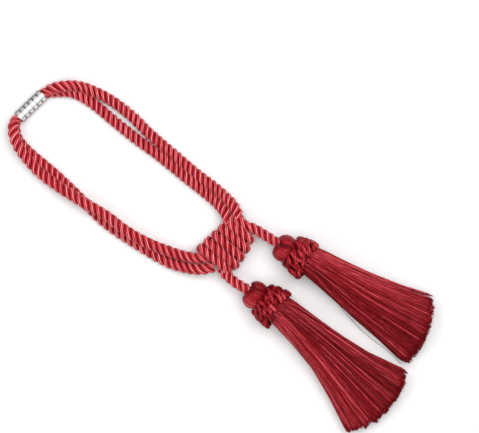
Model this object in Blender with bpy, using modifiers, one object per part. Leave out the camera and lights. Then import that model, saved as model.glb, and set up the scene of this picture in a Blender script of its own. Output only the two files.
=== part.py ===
"""Curtain tieback: a doubled rope loop with a studded sleeve, a wrapped knot and two tassels.

It lies flat on z = 0, its length along X, with the sleeve at -X and the tassels at +X.
Everything is in metres. Near means the -Y side and far the +Y side.
"""

import math
import random

import bmesh
import bpy
import numpy as np
from mathutils import Matrix, Vector

COLLECTION = "curtain_tieback"
GUIDES = "guides"
GAP = 0.0003  # between pieces that touch
WELD = 0.00001  # joins a swept tube's end caps to it
RED = (0.52, 0.02, 0.045, 1.0)
DARK_RED = (0.33, 0.01, 0.03, 1.0)
SILVER = (0.78, 0.78, 0.80, 1.0)

# Rope: three plies with a right-handed lay
PLIES = 3
LOOP_ROPE_RADIUS = 0.00525
TASSEL_ROPE_RADIUS = 0.0049
ROPE_PITCH = 0.0245
STEPS_PER_TURN = 7
CREST_HALF_ANGLE = math.radians(20)
VALLEY_DEPTH = 0.28  # of the rope's radius
LYING = 0.0050  # height of a loop rope's centre line where it lies on the surface
ROUTE_SAMPLES = 12  # between two points of a route
ROPE_CREASE = 50  # degrees, past which an edge stays sharp

# Rope routes: x, y, z
OUTER_ROUTE = (
    (0.0100, 0.0338, 0.0150),
    (0.0045, 0.0388, 0.0146),
    (-0.0030, 0.0437, 0.0128),
    (-0.0130, 0.0472, 0.0096),
    (-0.0320, 0.0502, 0.0058),
    (-0.0630, 0.0518, LYING),
    (-0.0979, 0.0549, LYING),
    (-0.1302, 0.0580, LYING),
    (-0.1635, 0.0628, LYING),
    (-0.1940, 0.0636, 0.0052),
    (-0.2190, 0.0592, 0.0075),
    (-0.2350, 0.0525, 0.0120),
    (-0.2462, 0.0438, 0.0156),
    (-0.2540, 0.0352, 0.0148),
    (-0.2588, 0.0257, 0.0108),
    (-0.2627, 0.0054, 0.0104),
    (-0.2665, -0.0137, 0.0107),
    (-0.2670, -0.0205, 0.0132),
    (-0.2636, -0.0276, 0.0157),
    (-0.2555, -0.0360, 0.0162),
    (-0.2445, -0.0436, 0.0144),
    (-0.2310, -0.0485, 0.0105),
    (-0.2104, -0.0532, 0.0070),
    (-0.1860, -0.0532, 0.0118),
    (-0.1680, -0.0517, 0.0152),
    (-0.1464, -0.0505, 0.0162),
    (-0.1190, -0.0484, 0.0145),
    (-0.0915, -0.0484, 0.0132),
    (-0.0680, -0.0458, 0.0108),
    (-0.0480, -0.0430, 0.0090),
    (-0.0262, -0.0380, 0.0100),
    (-0.0120, -0.0322, 0.0128),
    (-0.0020, -0.0256, 0.0147),
    (0.0044, -0.0195, 0.0150),
)
INNER_ROUTE = (
    (0.0045, 0.0232, 0.0150),
    (-0.0020, 0.0284, 0.0144),
    (-0.0100, 0.0332, 0.0118),
    (-0.0230, 0.0370, 0.0075),
    (-0.0400, 0.0385, 0.0052),
    (-0.0600, 0.0390, LYING),
    (-0.0888, 0.0418, LYING),
    (-0.1129, 0.0432, LYING),
    (-0.1426, 0.0450, LYING),
    (-0.1730, 0.0480, LYING),
    (-0.2002, 0.0495, LYING),
    (-0.2200, 0.0475, LYING),
    (-0.2350, 0.0435, LYING),
    (-0.2462, 0.0370, LYING),
    (-0.2545, 0.0300, 0.0048),
    (-0.2588, 0.0240, 0.0046),
    (-0.2627, 0.0054, 0.0046),
    (-0.2665, -0.0137, 0.0046),
    (-0.2665, -0.0205, 0.0048),
    (-0.2626, -0.0276, LYING),
    (-0.2540, -0.0345, LYING),
    (-0.2400, -0.0383, LYING),
    (-0.2245, -0.0401, LYING),
    (-0.1994, -0.0424, LYING),
    (-0.1749, -0.0462, LYING),
    (-0.1464, -0.0508, LYING),
    (-0.1190, -0.0550, LYING),
    (-0.0915, -0.0566, LYING),
    (-0.0661, -0.0558, LYING),
    (-0.0430, -0.0540, LYING),
    (-0.0250, -0.0500, 0.0062),
    (-0.0110, -0.0450, 0.0092),
    (0.0020, -0.0385, 0.0132),
    (0.0108, -0.0312, 0.0150),
    (0.0156, -0.0250, 0.0152),
)
TASSEL_ROUTES = {
    "upper": (
        (0.0190, 0.0325, 0.0150),
        (0.0255, 0.0353, 0.0154),
        (0.0345, 0.0368, 0.0162),
        (0.0455, 0.0374, 0.0178),
        (0.0560, 0.0383, 0.0193),
        (0.0610, 0.0390, 0.0195),
    ),
    "lower": (
        (0.0225, -0.0175, 0.0140),
        (0.0290, -0.0218, 0.0138),
        (0.0370, -0.0246, 0.0150),
        (0.0470, -0.0254, 0.0176),
        (0.0570, -0.0243, 0.0192),
        (0.0639, -0.0237, 0.0195),
    ),
}

# Sleeve: a tube with a frustum stud on each facet
SLEEVE_CENTRE = (-0.2627, 0.0054)
SLEEVE_ANGLE = math.radians(79)
SLEEVE_LENGTH = 0.0390
SLEEVE_SIDES = 8
SLEEVE_ROWS = 6
SLEEVE_BORE_APOTHEM = 0.00605
SLEEVE_WALL = 0.00075
STUD_HEIGHT = 0.0008
STUD_SLOPE = 0.0010
SQUEEZED_WIDTH = 0.80  # of the free rope, inside the sleeve
SQUEEZED_HEIGHT = 0.50
SQUEEZE_MARGIN = 0.001  # a rope stays squeezed this far past the sleeve
SQUEEZE_RELEASE = 0.013  # then swells again over this length

# Knot: wraps round the Y axis. Each row is one wrap's crest.
WRAPS = (
    # y_left, y_right, x_left, x_right, z_top
    (-0.0158, -0.0190, -0.0113, 0.0340, 0.0272),
    (-0.0048, -0.0100, -0.0091, 0.0376, 0.0295),
    (0.0062, 0.0010, -0.0063, 0.0373, 0.0300),
    (0.0168, 0.0125, -0.0045, 0.0366, 0.0295),
    (0.0262, 0.0235, -0.0030, 0.0345, 0.0282),
    (0.0348, 0.0338, 0.0035, 0.0250, 0.0255),
)
KNOT_COLUMNS = 42
KNOT_CORNER = 0.82  # exponent that squares a wrap's section
KNOT_PRESS = 0.0024  # how far the wraps are pressed flat on the surface
BETWEEN_WRAPS = (
    # share of the way to the next crest, inward
    (0.27, 0.0010),
    (0.50, 0.0034),
    (0.73, 0.0010),
)
WRAP_PLY = 0.0011  # height of a ply's ridge on a wrap
KNOT_END_STEPS = (
    # past the last crest, inward
    (0.0036, 0.0014),
    (0.0052, 0.0050),
)
SOCKET_CLEARANCE = 0.00065
SOCKET_REACH = 0.0240  # how far a socket's cut follows the rope outwards
SOCKET_STEP = 0.0040
SOCKET_ROUNDNESS = 4  # bevel resolution

# Tassels, from the cord's end of the head
TASSELS = {
    # x, y of the head's cord end, heading in degrees
    "upper": (0.05745, 0.0385, 8.0),
    "lower": (0.06060, -0.0239, 3.2),
}
AXIS_HEIGHT = 0.0195
HEAD_STEPS = 18
HEAD_PROFILE = (
    # radius, distance from the cord's end
    (0.0, 0.0040),
    (0.0056, 0.0040),
    (0.0060, 0.0008),
    (0.0080, 0.0),
    (0.0115, 0.0018),
    (0.0142, 0.0060),
    (0.0152, 0.0115),
    (0.0146, 0.0170),
    (0.0130, 0.0215),
    (0.0122, 0.0250),
    (0.0153, 0.0290),
    (0.0154, 0.0440),
    (0.0, 0.0440),
)
RUFF_BORE = 0.0158
RUFF_BODY = 0.0190
RUFF_LOBES = 10
RUFF_LOBE_COLUMNS = 4
RUFF_LOBE_HEIGHT = 0.0036
RUFF_CREASE = 60  # degrees
RUFF_RINGS = (
    # distance from the cord's end, radius over the body, lobe height, lobe offset in columns
    (0.0262, 0.0, 0.0, 0),
    (0.0272, -0.0008, 0.6, 0),
    (0.0315, 0.0, 1.0, 0),
    (0.0360, -0.0008, 0.5, 1),
    (0.0395, -0.0006, 0.6, 2),
    (0.0440, 0.0, 1.0, 2),
    (0.0485, -0.0008, 0.7, 2),
    (0.0500, -0.0020, 0.0, 2),
)
BAND_BACK = 0.0443
BAND_FRONT = 0.0502
BAND_RADIUS = 0.0152
STRAND_COLUMNS = 20
STRAND_ROWS = 3
STRAND_INSET = 0.07  # of a strand's cell, on each side
TIP_SHRINK = 0.85
TIP_UNEVENNESS = 0.0035
EDGE_THICKNESS = 0.4  # of a flat section's height, at its near and far edges
SKIRT_SECTIONS = {
    # x and y of the near edge, x and y of the far edge, z_low, z_high, roundness, bulge
    "upper": (
        (0.1170, 0.0275, 0.1130, 0.0625, 0.0030, 0.0345, 0.9, 0.000),
        (0.1800, 0.0176, 0.1740, 0.0752, 0.0000, 0.0235, 0.0, 0.000),
        (0.2590, 0.0110, 0.2375, 0.0915, 0.0000, 0.0180, 0.0, 0.0095),
    ),
    "lower": (
        (0.1165, -0.0405, 0.1185, -0.0055, 0.0030, 0.0345, 0.9, 0.000),
        (0.1770, -0.0586, 0.1845, -0.0032, 0.0000, 0.0235, 0.0, 0.000),
        (0.2460, -0.0918, 0.2640, 0.0040, 0.0000, 0.0180, 0.0, 0.0150),
    ),
}


def clear_scene():
    for obj in list(bpy.data.objects):
        bpy.data.objects.remove(obj, do_unlink=True)


def new_collection(name):
    collection = bpy.data.collections.new(name)
    bpy.context.scene.collection.children.link(collection)
    return collection


def finish_material(name, colour, roughness, metallic):
    material = bpy.data.materials.new(name)
    material.use_nodes = True
    shader = material.node_tree.nodes["Principled BSDF"]
    shader.inputs["Base Color"].default_value = colour
    shader.inputs["Roughness"].default_value = roughness
    shader.inputs["Metallic"].default_value = metallic
    return material


def new_object(name, data, collection, colour=RED, roughness=0.45, metallic=0.0):
    obj = bpy.data.objects.new(name, data)
    collection.objects.link(obj)
    obj.data.materials.append(finish_material(name, colour, roughness, metallic))
    return obj


def soften(mesh, angle_deg):
    mesh.shade_smooth()
    mesh.set_sharp_from_angle(angle=math.radians(angle_deg))


def loft(name, rings, closed):
    """A skin through rings of as many points each, closed into a ring or capped at its ends."""
    bm = bmesh.new()
    loops = [[bm.verts.new(point) for point in ring] for ring in rings]
    following = loops[1:] + loops[:1] if closed else loops[1:]
    for loop, after in zip(loops, following):
        for i in range(len(loop)):
            bm.faces.new((loop[i - 1], loop[i], after[i], after[i - 1]))
    if not closed:
        bm.faces.new(loops[0])
        bm.faces.new(loops[-1])
    bmesh.ops.recalc_face_normals(bm, faces=bm.faces)
    mesh = bpy.data.meshes.new(name)
    bm.to_mesh(mesh)
    bm.free()
    return mesh


def smooth_route(points, spacing):
    """Points at even steps of about the spacing along a smooth curve through the given points."""
    given = [Vector(p) for p in points]
    padded = [2 * given[0] - given[1], *given, 2 * given[-1] - given[-2]]
    fine = []
    for a, b, c, d in zip(padded, padded[1:], padded[2:], padded[3:]):
        for t in np.linspace(0.0, 1.0, ROUTE_SAMPLES, endpoint=False):
            bend = (2 * a - 5 * b + 4 * c - d) * t**2 + (3 * b - a - 3 * c + d) * t**3
            fine.append(b + ((c - a) * t + bend) / 2)
    fine = np.array(fine + [given[-1]])
    along = np.concatenate([[0.0], np.cumsum(np.linalg.norm(np.diff(fine, axis=0), axis=1))])
    stations = np.linspace(0.0, along[-1], round(along[-1] / spacing) + 1)
    return np.stack([np.interp(stations, along, fine[:, k]) for k in range(3)], axis=1)


def rope_outline(name, radius, collection):
    """A rope's section: one rounded lobe for each ply."""
    curve = bpy.data.curves.new(name, "CURVE")
    curve.dimensions = "2D"
    spline = curve.splines.new("POLY")
    corners = []
    for ply in range(PLIES):
        middle = math.tau * ply / PLIES
        corners.append((radius, middle - CREST_HALF_ANGLE))
        corners.append((radius, middle + CREST_HALF_ANGLE))
        corners.append((radius * (1 - VALLEY_DEPTH), middle + math.pi / PLIES))
    spline.points.add(len(corners) - 1)
    for point, (r, angle) in zip(spline.points, corners):
        point.co = (r * math.cos(angle), r * math.sin(angle), 0.0, 1.0)
    spline.use_cyclic_u = True
    outline = bpy.data.objects.new(name, curve)
    collection.objects.link(outline)
    outline.hide_render = True
    outline.display_type = "WIRE"
    return outline


def squeeze_in_sleeve(position, centres):
    """A rope's point pressed flat where the rope passes through the sleeve, swelling again past it."""
    nearest = int(np.argmin(np.linalg.norm(centres - np.array(position), axis=1)))
    centre = Vector(centres[nearest])
    beyond = (centre.xy - Vector(SLEEVE_CENTRE)).length - SLEEVE_LENGTH / 2 - SQUEEZE_MARGIN
    t = min(max(beyond / SQUEEZE_RELEASE, 0.0), 1.0)
    release = t * t * (3 - 2 * t)
    offset = position - centre
    width = SQUEEZED_WIDTH + (1 - SQUEEZED_WIDTH) * release
    height = SQUEEZED_HEIGHT + (1 - SQUEEZED_HEIGHT) * release
    return centre + Vector((offset.x * width, offset.y * width, offset.z * height))


def twisted_rope(name, route, outline, parts, squeezed):
    """A rope swept along its route, turning as it goes, with its lowest points flat on z = 0."""
    centres = smooth_route(route, ROPE_PITCH / STEPS_PER_TURN)
    curve = bpy.data.curves.new(name, "CURVE")
    curve.dimensions = "3D"
    curve.twist_mode = "Z_UP"
    curve.bevel_mode = "OBJECT"
    curve.bevel_object = outline
    curve.use_fill_caps = True
    spline = curve.splines.new("POLY")
    spline.points.add(len(centres) - 1)
    for i, (point, centre) in enumerate(zip(spline.points, centres)):
        point.co = (*centre, 1.0)
        point.tilt = math.tau * i / STEPS_PER_TURN
    sweep = bpy.data.objects.new(name + "_sweep", curve)
    parts.objects.link(sweep)
    graph = bpy.context.evaluated_depsgraph_get()
    mesh = bpy.data.meshes.new_from_object(sweep.evaluated_get(graph))
    bpy.data.objects.remove(sweep, do_unlink=True)
    bm = bmesh.new()
    bm.from_mesh(mesh)
    bmesh.ops.remove_doubles(bm, verts=bm.verts, dist=WELD)
    for vert in bm.verts:
        if squeezed:
            vert.co = squeeze_in_sleeve(vert.co, centres)
        vert.co.z = max(vert.co.z, 0.0)
    bmesh.ops.recalc_face_normals(bm, faces=bm.faces)
    bm.to_mesh(mesh)
    bm.free()
    mesh.materials.clear()
    soften(mesh, ROPE_CREASE)
    return new_object(name, mesh, parts)


def sleeve(parts):
    """A tube of facets, each raised into a flat-topped stud, over a plain bore."""
    turn = math.pi / SLEEVE_SIDES
    body_apothem = SLEEVE_BORE_APOTHEM + SLEEVE_WALL
    corner_radius = body_apothem / math.cos(turn)
    bm = bmesh.new()
    bmesh.ops.create_cone(
        bm,
        cap_ends=False,
        segments=SLEEVE_SIDES,
        radius1=corner_radius,
        radius2=corner_radius,
        depth=SLEEVE_LENGTH,
    )
    bmesh.ops.rotate(bm, verts=bm.verts, matrix=Matrix.Rotation(turn, 3, "Z"))
    bmesh.ops.subdivide_edges(
        bm,
        edges=[e for e in bm.edges if abs(e.verts[0].co.z - e.verts[1].co.z) > SLEEVE_LENGTH / 2],
        cuts=SLEEVE_ROWS - 1,
        use_grid_fill=True,
    )
    facets = list(bm.faces)
    rims = [e for e in bm.edges if e.is_boundary]
    drawn = bmesh.ops.extrude_edge_only(bm, edges=rims)
    inner = [v for v in drawn["geom"] if isinstance(v, bmesh.types.BMVert)]
    shrink = SLEEVE_BORE_APOTHEM / body_apothem
    for vert in inner:
        vert.co.x *= shrink
        vert.co.y *= shrink
    bore_edges = [e for e in bm.edges if e.is_boundary]
    bmesh.ops.bridge_loops(bm, edges=bore_edges)
    bmesh.ops.recalc_face_normals(bm, faces=bm.faces)
    bmesh.ops.inset_individual(bm, faces=facets, thickness=STUD_SLOPE, depth=STUD_HEIGHT)
    mesh = bpy.data.meshes.new("sleeve")
    bm.to_mesh(mesh)
    bm.free()
    obj = new_object("sleeve", mesh, parts, SILVER, 0.2, 1.0)
    obj.rotation_euler = (0.0, math.pi / 2, SLEEVE_ANGLE)
    obj.location = (*SLEEVE_CENTRE, body_apothem + STUD_HEIGHT)
    return obj


def wrap_ring(wrap, along, inward, row):
    """One ring of the knot, moved along its axis and inward from a wrap's crest."""
    y_left, y_right, x_left, x_right, z_top = wrap
    middle_x = (x_left + x_right) / 2
    half_x = (x_right - x_left) / 2 - inward
    half_z = (z_top + KNOT_PRESS) / 2
    middle_z = z_top - half_z
    half_z -= inward
    ring = []
    for column in range(KNOT_COLUMNS):
        angle = math.tau * column / KNOT_COLUMNS
        c = math.cos(angle)
        s = math.sin(angle)
        ply = WRAP_PLY if (column - row) % 3 == 0 else -WRAP_PLY / 3
        x = middle_x + (half_x + ply) * math.copysign(abs(c) ** KNOT_CORNER, c)
        z = middle_z + (half_z + ply) * math.copysign(abs(s) ** KNOT_CORNER, s)
        y = (y_left + y_right) / 2 + (y_right - y_left) / 2 * c + along
        ring.append((x, y, max(z, 0.0)))
    return ring


def knot_rings():
    """Rings from the near end to the far end: crest, shoulder, valley, shoulder for each wrap."""
    rings = []
    for along, inward in reversed(KNOT_END_STEPS):
        rings.append(wrap_ring(WRAPS[0], -along, inward, len(rings)))
    for wrap, after in zip(WRAPS, WRAPS[1:]):
        rings.append(wrap_ring(wrap, 0.0, 0.0, len(rings)))
        for share, inward in BETWEEN_WRAPS:
            between = [a + (b - a) * share for a, b in zip(wrap, after)]
            rings.append(wrap_ring(between, 0.0, inward, len(rings)))
    rings.append(wrap_ring(WRAPS[-1], 0.0, 0.0, len(rings)))
    for along, inward in KNOT_END_STEPS:
        rings.append(wrap_ring(WRAPS[-1], along, inward, len(rings)))
    return rings


def socket_cutter(name, route, radius, guides):
    """A plain tube round a rope's first stretch, from a gap past its end."""
    centres = smooth_route(route, SOCKET_STEP)[: round(SOCKET_REACH / SOCKET_STEP) + 1]
    end = Vector(centres[0])
    centres[0] = end + (end - Vector(centres[1])).normalized() * GAP
    curve = bpy.data.curves.new(name, "CURVE")
    curve.dimensions = "3D"
    curve.bevel_depth = radius + SOCKET_CLEARANCE
    curve.bevel_resolution = SOCKET_ROUNDNESS
    curve.use_fill_caps = True
    spline = curve.splines.new("POLY")
    spline.points.add(len(centres) - 1)
    for point, centre in zip(spline.points, centres):
        point.co = (*centre, 1.0)
    tube = bpy.data.objects.new(name + "_tube", curve)
    guides.objects.link(tube)
    graph = bpy.context.evaluated_depsgraph_get()
    mesh = bpy.data.meshes.new_from_object(tube.evaluated_get(graph))
    bpy.data.objects.remove(tube, do_unlink=True)
    bm = bmesh.new()
    bm.from_mesh(mesh)
    bmesh.ops.remove_doubles(bm, verts=bm.verts, dist=WELD)
    bmesh.ops.recalc_face_normals(bm, faces=bm.faces)
    bm.to_mesh(mesh)
    bm.free()
    cutter = bpy.data.objects.new(name, mesh)
    guides.objects.link(cutter)
    cutter.hide_render = True
    cutter.display_type = "WIRE"
    return cutter


def knot(parts, guides):
    mesh = loft("knot", knot_rings(), closed=False)
    soften(mesh, ROPE_CREASE)
    obj = new_object("knot", mesh, parts)
    obj.modifiers.new("flat_faces", "TRIANGULATE")  # so that the sockets cut clean edges
    ropes = {
        "outer_far": (OUTER_ROUTE, LOOP_ROPE_RADIUS),
        "outer_near": (OUTER_ROUTE[::-1], LOOP_ROPE_RADIUS),
        "inner_far": (INNER_ROUTE, LOOP_ROPE_RADIUS),
        "inner_near": (INNER_ROUTE[::-1], LOOP_ROPE_RADIUS),
        "tassel_far": (TASSEL_ROUTES["upper"], TASSEL_ROPE_RADIUS),
        "tassel_near": (TASSEL_ROUTES["lower"], TASSEL_ROPE_RADIUS),
    }
    for name, (route, radius) in ropes.items():
        cut = obj.modifiers.new(name, "BOOLEAN")
        cut.operation = "DIFFERENCE"
        cut.solver = "EXACT"
        cut.object = socket_cutter("socket_" + name, route, radius, guides)
    return obj


def tassel_frame(tassel):
    x, y, heading = TASSELS[tassel]
    turn = Matrix.Rotation(math.radians(heading), 4, "Z")
    return Matrix.Translation((x, y, AXIS_HEIGHT)) @ turn


def tassel_head(tassel, parts):
    """The ball and its neck, turned about the tassel's axis, with a recess for the cord."""
    name = "tassel_head_" + tassel
    mesh = bpy.data.meshes.new(name)
    points = [(radius, 0.0, -distance) for radius, distance in HEAD_PROFILE]
    mesh.from_pydata(points, [(i, i + 1) for i in range(len(points) - 1)], [])
    obj = new_object(name, mesh, parts, DARK_RED)
    x, y, heading = TASSELS[tassel]
    obj.location = (x, y, AXIS_HEIGHT)
    obj.rotation_euler = (0.0, -math.pi / 2, math.radians(heading))
    turn = obj.modifiers.new("turned", "SCREW")
    turn.steps = HEAD_STEPS
    turn.render_steps = HEAD_STEPS
    turn.use_merge_vertices = True
    turn.merge_threshold = 0.0001
    turn.use_smooth_shade = True
    return obj


def tassel_ruff(tassel, parts):
    """A band of braid loops in two staggered rows, pressed flat where it lies on the surface."""
    columns = RUFF_LOBES * RUFF_LOBE_COLUMNS
    lobe = [(1 + math.cos(math.tau * c / RUFF_LOBE_COLUMNS)) / 2 for c in range(RUFF_LOBE_COLUMNS)]
    first, last = RUFF_RINGS[0][0], RUFF_RINGS[-1][0]
    profile = [(first, RUFF_BORE, 0.0, 0)]
    profile += [(x, RUFF_BODY + over, height, offset) for x, over, height, offset in RUFF_RINGS]
    profile.append((last, RUFF_BORE, 0.0, 0))
    rings = []
    for x, radius, height, offset in profile:
        ring = []
        for column in range(columns):
            raised = lobe[(column + offset) % RUFF_LOBE_COLUMNS] * height * RUFF_LOBE_HEIGHT
            angle = math.tau * column / columns
            y = (radius + raised) * math.cos(angle)
            z = (radius + raised) * math.sin(angle)
            ring.append((x, y, max(z, -AXIS_HEIGHT)))
        rings.append(ring)
    mesh = loft("tassel_ruff_" + tassel, rings, closed=True)
    soften(mesh, RUFF_CREASE)
    obj = new_object("tassel_ruff_" + tassel, mesh, parts, DARK_RED)
    obj.matrix_world = tassel_frame(tassel)
    return obj


def skirt_point(tassel, frame, across, up, station, stretch):
    """A point of the skirt, from its place across (-1 to 1), up (-1 to 1) and along (station)."""
    if station > 0:
        across /= 1 - 2 * STRAND_INSET / STRAND_COLUMNS
        up /= 1 - 2 * STRAND_INSET / STRAND_ROWS
    round_across = across * math.sqrt(1 - up * up / 2)
    round_up = up * math.sqrt(1 - across * across / 2)
    if station <= 0:
        x = BAND_FRONT if station == 0 else BAND_BACK
        return frame @ Vector((x, BAND_RADIUS * round_across, BAND_RADIUS * round_up))
    near_x, near_y, far_x, far_y, low, high, roundness, bulge = SKIRT_SECTIONS[tassel][station - 1]
    near = Vector((near_x, near_y))
    far = Vector((far_x, far_y))
    crown = EDGE_THICKNESS + (1 - EDGE_THICKNESS) * math.sqrt(max(1 - across * across, 0.0))
    flat_z = low + (high * crown - low) * (up + 1) / 2
    round_z = (low + high) / 2 + round_up * (high - low) / 2
    side = across + (round_across - across) * roundness
    place = near + (far - near) * (side + 1) / 2
    onward = (far - near).orthogonal().normalized()
    if onward.x < 0:
        onward.negate()
    place += onward * (bulge * (1 - across * across) + stretch)
    return Vector((place.x, place.y, flat_z + (round_z - flat_z) * roundness))


def tassel_skirt(tassel, parts, seed):
    """Strands of four sides that grow out of a band, fan out and lie level on the surface."""
    name = "tassel_skirt_" + tassel
    stations = len(SKIRT_SECTIONS[tassel])
    draw = random.Random(seed)
    bm = bmesh.new()
    bmesh.ops.create_grid(bm, x_segments=STRAND_COLUMNS, y_segments=STRAND_ROWS, size=0.5)
    for vert in bm.verts:
        vert.co.x *= STRAND_COLUMNS
        vert.co.y *= STRAND_ROWS
    roots = list(bm.faces)
    backing = bmesh.ops.extrude_face_region(bm, geom=roots)
    back_faces = [f for f in backing["geom"] if isinstance(f, bmesh.types.BMFace)]
    for vert in {v for f in back_faces for v in f.verts}:
        vert.co.z = -1.0
    bmesh.ops.dissolve_faces(bm, faces=back_faces)
    bmesh.ops.inset_individual(bm, faces=roots, thickness=STRAND_INSET, use_even_offset=True)
    strands = roots
    for station in range(1, stations + 1):
        drawn = bmesh.ops.extrude_discrete_faces(bm, faces=strands)
        strands = drawn["faces"]
        for face in strands:
            middle = face.calc_center_median()
            shrink = TIP_SHRINK if station == stations else 1.0
            for vert in face.verts:
                vert.co = middle + (vert.co - middle) * shrink
                vert.co.z = station
    stretch = {}
    for face in strands:
        extra = draw.uniform(-TIP_UNEVENNESS, TIP_UNEVENNESS)
        for vert in face.verts:
            stretch[vert] = extra
    frame = tassel_frame(tassel)
    for vert in bm.verts:
        across = vert.co.x / (STRAND_COLUMNS / 2)
        up = vert.co.y / (STRAND_ROWS / 2)
        vert.co = skirt_point(tassel, frame, across, up, round(vert.co.z), stretch.get(vert, 0.0))
    bmesh.ops.recalc_face_normals(bm, faces=bm.faces)
    mesh = bpy.data.meshes.new(name)
    bm.to_mesh(mesh)
    bm.free()
    return new_object(name, mesh, parts, DARK_RED)


def build():
    clear_scene()
    parts = new_collection(COLLECTION)
    guides = new_collection(GUIDES)
    loop_outline = rope_outline("loop_rope_outline", LOOP_ROPE_RADIUS, guides)
    tassel_outline = rope_outline("tassel_rope_outline", TASSEL_ROPE_RADIUS, guides)
    twisted_rope("loop_cord_outer", OUTER_ROUTE, loop_outline, parts, squeezed=True)
    twisted_rope("loop_cord_inner", INNER_ROUTE, loop_outline, parts, squeezed=True)
    sleeve(parts)
    knot(parts, guides)
    for seed, tassel in enumerate(TASSELS):
        twisted_rope("tassel_cord_" + tassel, TASSEL_ROUTES[tassel], tassel_outline, parts, squeezed=False)
        tassel_head(tassel, parts)
        tassel_ruff(tassel, parts)
        tassel_skirt(tassel, parts, seed)


build()
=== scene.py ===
"""Looks of the curtain tieback: its ropes, knot, sleeve and tassels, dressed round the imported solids.

Everything is in metres, in the frame of the solids. +X runs from the sleeve to the tassels, +Z is up,
and the object lies on z = 0. Near means the -Y side and far the +Y side.
"""

import math

import bpy
import numpy as np
from mathutils import Matrix, Vector


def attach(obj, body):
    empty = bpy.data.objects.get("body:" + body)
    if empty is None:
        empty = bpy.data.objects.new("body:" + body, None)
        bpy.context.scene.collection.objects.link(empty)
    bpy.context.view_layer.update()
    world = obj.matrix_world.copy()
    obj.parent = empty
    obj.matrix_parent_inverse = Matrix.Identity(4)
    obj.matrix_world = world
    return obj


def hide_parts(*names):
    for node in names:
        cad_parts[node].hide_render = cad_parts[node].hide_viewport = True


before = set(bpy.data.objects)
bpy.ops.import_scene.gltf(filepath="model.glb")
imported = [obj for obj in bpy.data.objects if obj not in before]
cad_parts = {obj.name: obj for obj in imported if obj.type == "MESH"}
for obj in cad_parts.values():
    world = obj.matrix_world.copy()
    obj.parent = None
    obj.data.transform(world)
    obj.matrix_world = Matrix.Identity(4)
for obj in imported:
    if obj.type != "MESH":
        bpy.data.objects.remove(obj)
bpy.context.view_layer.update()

UP = np.array([0.0, 0.0, 1.0])
THREAD_UV = "thread"
SHADE = "shade"

# Camera, straight above, turned as the object lies in the picture
VIEW_CENTRE = (0.0068, 0.0389)
VIEW_WIDTH = 0.551
VIEW_TURN = math.radians(35.03)
VIEW_FOCUS_HEIGHT = 0.010
LENS_MM = 200.0
SENSOR_MM = 36.0
FARTHEST_SEEN = 50.0

FLOOR_SIZE = 8.0
FLOOR_COLOUR = (0.635, 0.622, 0.625, 1.0)
FLOOR_ROUGHNESS = 0.9
FLOOR_GLOSS = 0.1

# Light: a sky brighter overhead, and softboxes, each with its place, size and watts
SKY_LOW = 0.33
SKY_OVERHEAD = 0.45
SKY_SIDE = 0.20
BRIGHT_SIDE = (0.98, -0.18, 0.0)
SOFTBOXES = {
    "softbox_top": ((0.12, 0.45, 2.05), 1.7, 43.5),
    "softbox_far": ((0.40, 1.00, 1.20), 0.6, 4.5),
    "softbox_near": ((-0.50, -0.90, 1.10), 0.6, 6.5),
    "softbox_loop": ((-1.00, 0.20, 1.20), 0.6, 5.5),
}

# Satin: gloss and its colour, shared by all the threads
SATIN_GLOSS = 0.30
SATIN_TINT = (1.0, 0.22, 0.25, 1.0)
SATIN_SHEEN = 0.04
SHEEN_ROUGHNESS = 0.35
SHEEN_TINT = (1.0, 0.12, 0.16, 1.0)
YARN_TONE = 0.20
GRAIN_DETAIL = 3.0
BUMP_STRENGTH = 0.6
MIDDLE_COLOUR_AT = 0.55  # on the way from a thread's darkest colour to its lightest
# Colours run from darkest to lightest: the darkest is painted shade for creases, the lightest a painted
# satin highlight
ROPE_COLOURS = ((0.13, 0.0003, 0.0010), (0.42, 0.027, 0.037), (0.71, 0.245, 0.260))
TASSEL_COLOURS = ((0.050, 0.0003, 0.0008), (0.22, 0.0050, 0.0100), (0.56, 0.070, 0.088))
THREADS = {
    # colours, grain across and along, how strong its streaks are, roughness, relief
    "rope_thread": (ROPE_COLOURS, 9.0, 130.0, 1.35, 0.34, 0.0002),
    "tassel_thread": (TASSEL_COLOURS, 6.0, 110.0, 1.15, 0.36, 0.0001),
    "skirt_thread": (TASSEL_COLOURS, 0.8, 90.0, 1.5, 0.33, 0.00005),
}

PLATE_COLOUR = (0.86, 0.86, 0.86, 1.0)
# The dark end of the plate's colours: tarnish in the grooves, and painted dark reflection on the studs'
# bevels
TARNISH_AND_PAINTED_REFLECTION_COLOUR = (0.13, 0.128, 0.125, 1.0)
PLATE_ROUGHNESS = (0.168, 0.448)  # from the smoothest place to the roughest
SCUFF_SCALE = 900.0
SCUFF_DETAIL = 4.0
SCUFF_TONE = 0.5

# Rope: three plies with a right-handed lay, each of yarns with a left-handed one
PLIES = 3
LOOP_ROPE_RADIUS = 0.0069  # to the crests of the plies
TASSEL_ROPE_RADIUS = 0.0065
LOOP_PITCHES = (0.0220, 0.0250)  # tighter on the far run than on the near one
PITCH_CHANGE = (0.4, 0.6)  # where along the rope it starts and ends
TASSEL_ROPE_PITCH = 0.0235
PLY_SHARE = 0.53  # of the rope's radius
YARNS = 6
YARN_COLUMNS = (-1.0, -0.42, 0.0, -0.42)  # a yarn's height, from crease to crease
YARN_DEPTH = 0.00070
YARN_PITCH = 0.050
PLY_SWELL = 0.035
PLY_SWELL_TURNS = 210  # radians a metre
PLY_SWELL_OFFSET = 2.1  # radians from ply to ply
# Painted shade: plies darken towards the rope's centre, and yarns towards the creases between them
VALLEY_TO_CREST = (0.55, 0.98)  # how far out a ply is dark and light, as shares of the rope's radius
VALLEY_CURVE = 1.2
CREST_SHADE = 1.02
YARN_SHADE = 0.85
ROPE_STEP = 0.0010
LYING = 0.0050  # height of a rope's centre line where it lies on the surface
ROUTE_SAMPLES = 12  # between two points of a route
TINY = 1e-12  # keeps a division from zero

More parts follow.
